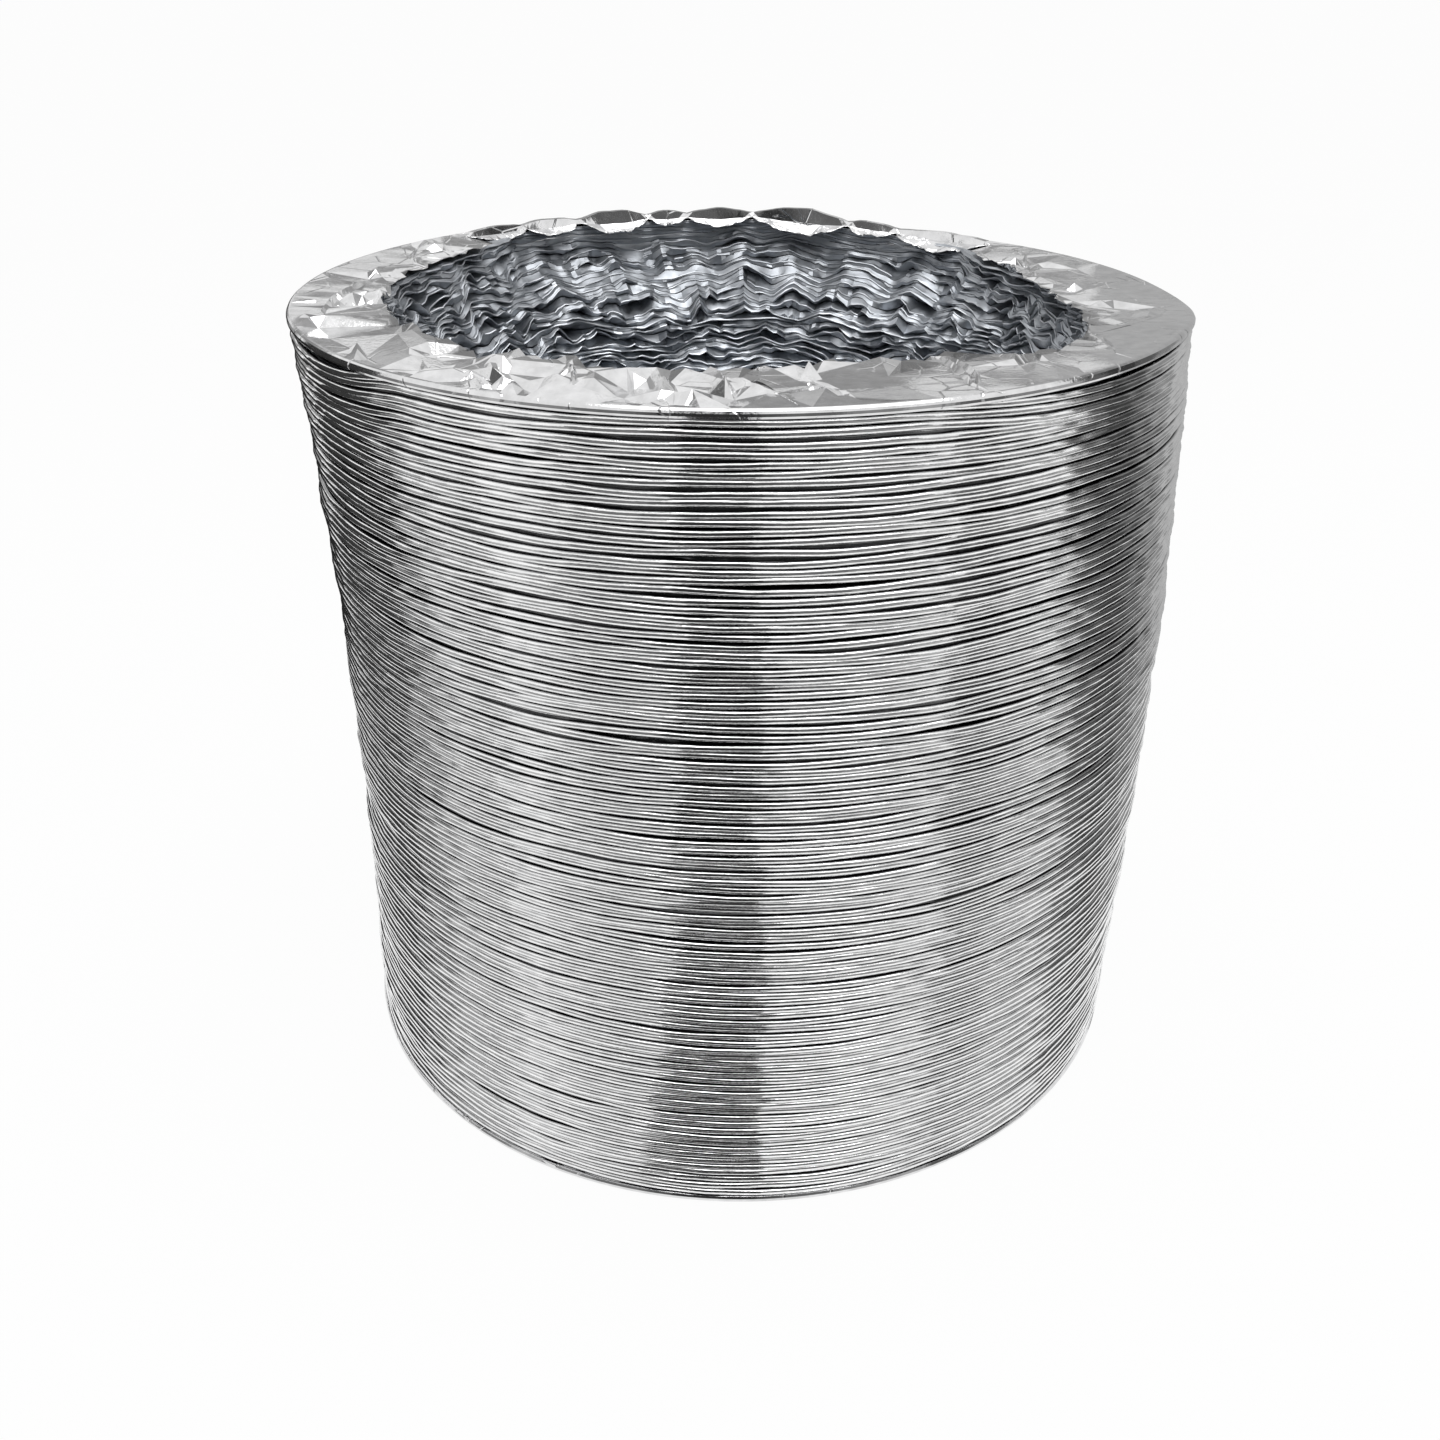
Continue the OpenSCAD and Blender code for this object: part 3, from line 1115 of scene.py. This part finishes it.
class FoldedEnd:
    """The foil folded in over an end: scattered points joined by flat facets, as crumpled foil is."""

    def __init__(self, edge, strips, spots, tucks, seed):
        self.edge, self.strips, self.spots = edge, strips, spots
        self.random = np.random.default_rng(seed)
        inner = self.inner_edge()
        rim = on_ring(np.arange(RIM_STEPS) * 360 / RIM_STEPS, RIM_R)
        flat, lift = [rim, inner], [self.heights(rim), self.heights(inner)]
        for tuck in tucks:
            places, heights = self.tuck(*tuck)
            flat.append(places)
            lift.append(self.heights(places, TUCK_STRAY) + heights)
        if strips:
            angles = np.arange(strips[0][0], strips[-1][1], FACE_STEP)
            for inward in (LEDGE, STEEP):
                face = on_ring(angles, RIM_R - inward)
                flat.append(face)
                lift.append(self.heights(face))
        fixed = np.concatenate(flat)
        loose = self.scattered(fixed[RIM_STEPS + len(inner):])
        self.flat = np.concatenate([fixed, loose])
        self.lift = np.concatenate(lift + [self.heights(loose)])
        self.joined_up(len(inner))

    def edge_r(self, degrees):
        """Radius of the inner edge, before its small tears."""
        angles, radii = zip(*self.edge)
        radius = np.interp(degrees, angles, radii, period=360)
        radius = np.where(self.torn(degrees), RIM_R - STUB, radius)
        for start, end, width, *_ in self.strips:
            middle, half = (start + end) / 2, (end - start) / 2
            across = np.sqrt(np.clip(1 - (degrees_apart(degrees, middle) / half) ** 4, 0, 1))
            radius = np.where(across > 0, RIM_R - STUB - (width - STUB) * across, radius)
        return radius

    def torn(self, degrees):
        """Whether an angle lies in the stretch where only strips are left."""
        if not self.strips:
            return np.zeros(np.shape(degrees), bool)
        return (degrees > self.strips[0][0] - 1) & (degrees < self.strips[-1][1] + 1)

    def inner_edge(self):
        """The ragged inner edge, with its points closer together in the torn stretch."""
        angles = np.cumsum(EDGE_STEP + EDGE_STEP_MORE * self.random.uniform(0, 1, 900))
        angles = angles[angles < 360 - EDGE_CLOSE]
        angles = angles[self.torn(angles) | (np.arange(len(angles)) % PLAIN_EDGE_STEPS == 0)]
        ragged = np.where(self.torn(angles), TORN_RAGGED, PLAIN_RAGGED)
        ragged *= self.random.uniform(-1, 1, len(angles))
        radius = np.minimum(self.edge_r(angles) + ragged, RIM_R - STEEP - FACE_CLEAR)
        return on_ring(angles, radius)

    def tuck(self, angle, radius, end_angle, end_radius, height, half_width, slot):
        """Points of one long crease, in rows beside its bowed line, and how far each stands up."""
        start, end = on_ring(angle, radius), on_ring(end_angle, end_radius)
        along = end - start
        length = math.hypot(*along)
        side = np.array([-along[1], along[0]]) / length
        steps = np.linspace(0, 1, max(4, int(length / TUCK_STEP)))
        bow = TUCK_BOW * length * np.sin(math.pi * steps)
        rows = SLOT_ROWS if slot else TUCK_ROWS
        taper = np.sin(math.pi * (0.08 + 0.84 * steps)) ** 0.5
        places = [
            start + steps[:, None] * along + (bow + across * half_width * taper)[:, None] * side
            for across, _ in rows
        ]
        return np.concatenate(places), np.concatenate([height * taper * up for _, up in rows])

    def spacing(self, degrees, radius):
        """How far apart the facets' corners lie, and how high they stray."""
        rough = 1 - ramp(degrees_apart(degrees, ROUGH_SIDE), *ROUGH_REACH)
        apart = np.where(self.torn(degrees), TORN_APART, PLAIN_APART + ROUGH_APART * rough)
        stray = np.where(self.torn(degrees), TORN_STRAY, PLAIN_STRAY + ROUGH_STRAY * rough)
        for angle, middle, reach, height in self.spots:
            off = on_ring(degrees, radius) - on_ring(angle, middle)
            inside = radii_of(off) < reach
            apart = np.where(inside, SPOT_APART, apart)
            stray = np.where(inside, height * SPOT_STRAY, stray)
        return apart, stray

    def scattered(self, taken):
        """Loose corners at random places, each far enough from those before it. The first row stays empty."""
        kept = np.full((len(taken) + MOST_CORNERS, 2), 1e6)
        kept[1:len(taken) + 1] = taken
        count = len(taken) + 1
        degrees, share = self.random.random((TRIES, 2)).T * [[360], [1]]
        radius = RIM_R - 0.5 - share * (RIM_R - LEAST_R)
        apart, _ = self.spacing(degrees, radius)
        clear = EDGE_CLEAR * apart
        fits = (radius > self.edge_r(degrees) + clear) & (radius < RIM_R - clear)
        for place, least in zip(on_ring(degrees, radius)[fits], apart[fits] ** 2):
            off = kept[:count] - place
            if (off * off).sum(axis=1).min() > least:
                kept[count] = place
                count += 1
        return kept[len(taken) + 1:count]

    def heights(self, places, stray_share=1.0):
        """How high each place lies over the rim's top."""
        degrees, radius = angles_of(places) % 360, radii_of(places)
        inward = RIM_R - radius
        share = np.minimum(inward / np.maximum(RIM_R - self.edge_r(degrees), 1), 1)
        _, stray = self.spacing(degrees, radius)
        stray = stray * stray_share * self.random.uniform(-1, 1, len(places))
        height = ramp(inward, 0, LEVEL_FROM) * (stray - DIP - INNER_DIP * share)
        face = np.clip((inward - LEDGE) / (STEEP - LEDGE), 0, 1)
        height = np.where(self.torn(degrees), -TORN_DROP * face, height)
        ragged = facets(degrees / RAG_WIDTH, 0 * degrees, RAG_PERIOD, RAG_SEED)
        for start, end, width, rise, steep, fall in self.strips:
            middle, half = (start + end) / 2, (end - start) / 2
            bow = np.clip(1 - (degrees_apart(degrees, middle) / half) ** 2, 0, 1)
            bow *= 1 + RAG_SHARE * ragged
            slope = fall * np.clip((inward - STEEP) / (width - STEEP), 0, 1)
            height += bow * (rise - (steep - TORN_DROP) * face - slope + stray * (face == 1))
        return height

    def joined_up(self, edge_points):
        """Facets between all points, with none over the bore."""
        rim = [(i, (i + 1) % RIM_STEPS) for i in range(RIM_STEPS)]
        edge = [(RIM_STEPS + i, RIM_STEPS + (i + 1) % edge_points) for i in range(edge_points)]
        points = [tuple(place) for place in self.flat]
        found = delaunay_2d_cdt(points, rim + edge, [], WHOLE_RING, SAME_POINT)
        triangles, origins = np.array(found[2]), np.array([first for first, *_ in found[3]])
        middles = self.flat[origins[triangles]].mean(axis=1)
        bore = self.flat[RIM_STEPS:RIM_STEPS + edge_points]
        limit = straight_edge(angles_of(middles) % 360, bore)
        self.triangles = origins[triangles[radii_of(middles) > limit]]


def straight_edge(degrees, points):
    """Radius of a ring of straight edges at some angles."""
    angles = angles_of(points) % 360
    order = np.argsort(angles)
    angles, points = angles[order], points[order]
    after = np.searchsorted(angles, degrees) % len(angles)
    a, b = points[after - 1], points[after]
    ray = on_ring(degrees, 1.0)
    edge = b - a
    cross = a[:, X] * edge[:, Y] - a[:, Y] * edge[:, X]
    return cross / (ray[:, X] * edge[:, Y] - ray[:, Y] * edge[:, X])


class DUCT_OT_end_flanges(bpy.types.Operator):
    """Makes the foil folded in over both ends"""

    bl_idname = "duct.end_flanges"
    bl_label = "End flanges"

    def execute(self, context):
        foil = foil_finish("end_foil", context.scene.duct_finish.end, roughness=0.1, grain=300)
        add_creases(foil, apart=9 * MM, depth=0.07 * MM)
        top = FoldedEnd(TOP_EDGE, STRIPS, SPOTS, TUCKS, seed=41)
        self.flange("top_end_foil", "top_flange", section_body(SECTIONS), foil.material, top)
        bottom = FoldedEnd(BOTTOM_EDGE, (), (), (), seed=42)
        bottom.lift *= BOTTOM_STRAY
        self.flange("bottom_end_foil", "bottom_flange", section_body(1), foil.material, bottom)
        return {"FINISHED"}

    def flange(self, name, node, body, material, end):
        """The cuff round the end turn, and the foil folded in from it."""
        around = np.arange(RIM_STEPS) * 360 / RIM_STEPS
        rows = list(CUFF_EDGE)
        for angle in np.radians(CUFF_ANGLES):
            rows.append((RIM_R + RIM_TUBE * math.cos(angle), RIM_TUBE * (math.sin(angle) - 1)))
        cuff = np.stack([np.column_stack([on_ring(around, r), 0 * around + z]) for r, z in rows])
        sheet = np.column_stack([end.flat, end.lift])
        points = np.concatenate([cuff.reshape(-1, 3), sheet]) * MM
        quads = ring_faces(len(rows) + 1, RIM_STEPS)[:len(rows) * RIM_STEPS]
        triangles = end.triangles + len(rows) * RIM_STEPS
        if node == "bottom_flange":
            points[:, Z] = FOIL_THICKNESS - points[:, Z]
            quads, triangles = quads[:, ::-1], triangles[:, ::-1]
        else:
            points[:, Z] += DUCT_TOP - FOIL_THICKNESS - stack_sag(angles_of(points), LAST_TURN)
        mesh = bpy.data.meshes.new(name)
        mesh.from_pydata(points.tolist(), [], quads.tolist() + triangles.tolist())
        creased(mesh, FACET_CREASE)
        piece = add_piece(name, mesh, material)
        shell = piece.modifiers.new("foil thickness", "SOLIDIFY")
        shell.thickness = FOIL_THICKNESS
        shell.offset = -1
        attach(piece, body)
        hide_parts(node)


def seen_rays(t):
    """1 for what the camera sees straight, in a reflection or through glass, and 0 for light that falls."""
    path = t.tree.nodes.new("ShaderNodeLightPath").outputs
    mirrored = t.math("MAXIMUM", path["Is Glossy Ray"], path["Is Transmission Ray"])
    return t.math("MAXIMUM", path["Is Camera Ray"], mirrored)


def glow_material(name, strength):
    material = bpy.data.materials.new(name)
    material.use_nodes = True
    t = Nodes(material.node_tree)
    t.tree.nodes.clear()
    glow = t.node("ShaderNodeEmission", {"Color": WHITE, "Strength": strength})
    t.put(t.tree.nodes.new("ShaderNodeOutputMaterial").inputs["Surface"], glow)
    return material


# The floor: half its width in metres, corners as shares of that, colour, roughness, and how much of the
# studio's glow it shows
FLOOR_HALF = 20
FLOOR_CORNERS = ((-1, -1), (1, -1), (1, 1), (-1, 1))
FLOOR_COLOUR = (0.85, 0.85, 0.85, 1)
FLOOR_ROUGHNESS = 0.9
FLOOR_GLOW = 0.95
# Strength of the studio's white walls as a light
WORLD_LIGHT = 0.55
# Degrees between two points of a panel's edge
PANEL_STEP = 5
# Panels that stand round the duct and show only in its reflections, as in a studio with dark and pale walls:
# from and to angle, brightness, distance, and height of the lower and the upper edge in metres
NEAR = 0.3
FAR = 1.4
PANELS = (
    (128, 158, 0.02, NEAR, 0, 0.16), (158, 172, 0.04, NEAR, 0, 0.25), (172, 188, 0.04, NEAR, 0, 0.28),
    (188, 197, 0.24, NEAR, 0, 0.26), (197, 206, 0.40, NEAR, 0, 0.22), (206, 216, 0.24, NEAR, 0, 0.22),
    (216, 226, 0.52, NEAR, 0, 0.20), (226, 237, 0.30, NEAR, 0, 0.22), (237, 250, 0.18, NEAR, 0, 0.24),
    (250, 255, 0.11, NEAR, 0, 0.28), (255, 273, 0.035, NEAR, 0, 0.36), (273, 278, 0.09, NEAR, 0, 0.28),
    (278, 290, 0.15, NEAR, 0, 0.24), (290, 302, 0.28, NEAR, 0, 0.22), (302, 312, 0.44, NEAR, 0, 0.20),
    (312, 324, 0.12, NEAR, 0, 0.26), (324, 334, 0.28, NEAR, 0, 0.24), (334, 344, 0.46, NEAR, 0, 0.22),
    (344, 352, 0.14, NEAR, 0, 0.30), (352, 363, 0.05, NEAR, 0, 0.38), (3, 12, 0.12, NEAR, 0, 0.42),
    (12, 22, 0.26, NEAR, 0, 0.46), (22, 62, 0.46, NEAR, 0, 0.46), (225, 315, 0.14, FAR, 0, 1.05),
    (62, 128, 0.06, FAR, 0, 0.21), (62, 128, 0.30, FAR, 0.21, 0.32), (62, 82, 0.80, FAR, 0.32, 0.52),
    (82, 103, 0.34, FAR, 0.32, 0.54), (103, 128, 0.84, FAR, 0.32, 0.52),
    (62, 128, 0.34, FAR, 0.52, 0.64), (62, 128, 0.60, FAR, 0.64, 0.80), (62, 128, 0.34, FAR, 0.80, 1.05),
    (128, 138, 0.30, FAR, 0, 0.9),
)
# Dark cards that lie on the floor and show in the same way: angles, brightness, and distances from and to
CARDS = ((62, 128, 0.07, 0.11, FAR), (255, 273, 0.05, 0.11, 0.2))
CARD_LIFT = 1 * MM


class DUCT_OT_stage(bpy.types.Operator):
    """Sets up the floor, the lights and what the foil reflects"""

    bl_idname = "duct.stage"
    bl_label = "Stage"

    def execute(self, context):
        self.floor()
        self.world()
        for start, end, strength, away, bottom, top in PANELS:
            self.panel(start, end, strength, (away, bottom), (away, top))
        for start, end, strength, near, far in CARDS:
            self.panel(start, end, strength, (far, CARD_LIFT), (near, CARD_LIFT))
        self.softbox(place=(0.1, -0.25, 1.3), size=0.9, power=9)
        context.scene.view_settings.view_transform = "Standard"
        return {"FINISHED"}

    def floor(self):
        t = MaterialNodes("floor")
        t.put(t.shader["Base Color"], FLOOR_COLOUR)
        t.put(t.shader["Roughness"], FLOOR_ROUGHNESS)
        glow = t.node("ShaderNodeEmission", {"Strength": 1})
        share = t.math("MULTIPLY", seen_rays(t), FLOOR_GLOW)
        matt = t.tree.nodes["Principled BSDF"].outputs[0]
        mix = t.node("ShaderNodeMixShader", {0: share, 1: matt, 2: glow})
        t.put(t.tree.nodes["Material Output"].inputs["Surface"], mix)
        corners = [(FLOOR_HALF * x, FLOOR_HALF * y, 0) for x, y in FLOOR_CORNERS]
        mesh = faces_mesh("floor", corners, np.array([[0, 1, 2, 3]]))
        mesh.materials.append(t.material)
        add_object("floor", mesh)

    def world(self):
        world = bpy.data.worlds.new("studio")
        bpy.context.scene.world = world
        world.use_nodes = True
        t = Nodes(world.node_tree)
        t.tree.nodes.clear()
        lit = t.node("ShaderNodeBackground", {"Color": WHITE, "Strength": WORLD_LIGHT})
        shown = t.node("ShaderNodeBackground", {"Color": WHITE, "Strength": 1})
        mix = t.node("ShaderNodeMixShader", {0: seen_rays(t), 1: lit, 2: shown})
        t.put(t.tree.nodes.new("ShaderNodeOutputWorld").inputs["Surface"], mix)

    def panel(self, start, end, strength, low, high):
        """A curved strip between two edges, each a distance and a height."""
        steps = max(2, int((end - start) / PANEL_STEP) + 1)
        angles = np.radians(np.linspace(start, end, steps))
        points = [
            (away * math.cos(angle), away * math.sin(angle), height)
            for away, height in (low, high)
            for angle in angles
        ]
        faces = np.array([[i + 1, i, steps + i, steps + i + 1] for i in range(steps - 1)])
        mesh = faces_mesh("panel", points, faces)
        mesh.materials.append(glow_material("panel", strength))
        panel = add_object("panel", mesh)
        panel.visible_camera = False
        panel.visible_diffuse = False
        panel.visible_shadow = False
        panel.visible_transmission = False

    def softbox(self, place, size, power):
        data = bpy.data.lights.new("overhead_softbox", "AREA")
        data.shape = "SQUARE"
        data.size = size
        data.energy = power
        add_object("overhead_softbox", data).location = place


class DUCT_PT_build(bpy.types.Panel):
    """Lists the steps that build the duct"""

    bl_idname = "DUCT_PT_build"
    bl_label = "Air Duct"
    bl_space_type = "VIEW_3D"
    bl_region_type = "UI"
    bl_category = "Air Duct"

    def draw(self, context):
        for step in STEPS:
            self.layout.operator(step.bl_idname)
        for group in GROUPS:
            values = getattr(context.scene, group)
            for name in values.bl_rna.properties.keys():
                if name not in ("rna_type", "name"):
                    self.layout.prop(values, name)


STEPS = (
    DUCT_OT_camera,
    DUCT_OT_outer_walls,
    DUCT_OT_spring_wires,
    DUCT_OT_inner_folds,
    DUCT_OT_end_flanges,
    DUCT_OT_stage,
)
GROUPS = {
    "duct_sizes": DuctSizes, "duct_folds": FoilFolds, "duct_finish": FoilFinish, "duct_stage": DuctStage,
}


def register():
    for group in GROUPS.values():
        bpy.utils.register_class(group)
    for name, group in GROUPS.items():
        setattr(bpy.types.Scene, name, PointerProperty(type=group))
    for step in STEPS:
        bpy.utils.register_class(step)
    bpy.utils.register_class(DUCT_PT_build)


def unregister():
    bpy.utils.unregister_class(DUCT_PT_build)
    for step in reversed(STEPS):
        bpy.utils.unregister_class(step)
    for name in GROUPS:
        delattr(bpy.types.Scene, name)
    for group in GROUPS.values():
        bpy.utils.unregister_class(group)


def main():
    register()
    for step in STEPS:
        category, name = step.bl_idname.split(".")
        getattr(getattr(bpy.ops, category), name)()


if __name__ == "__main__":
    main()
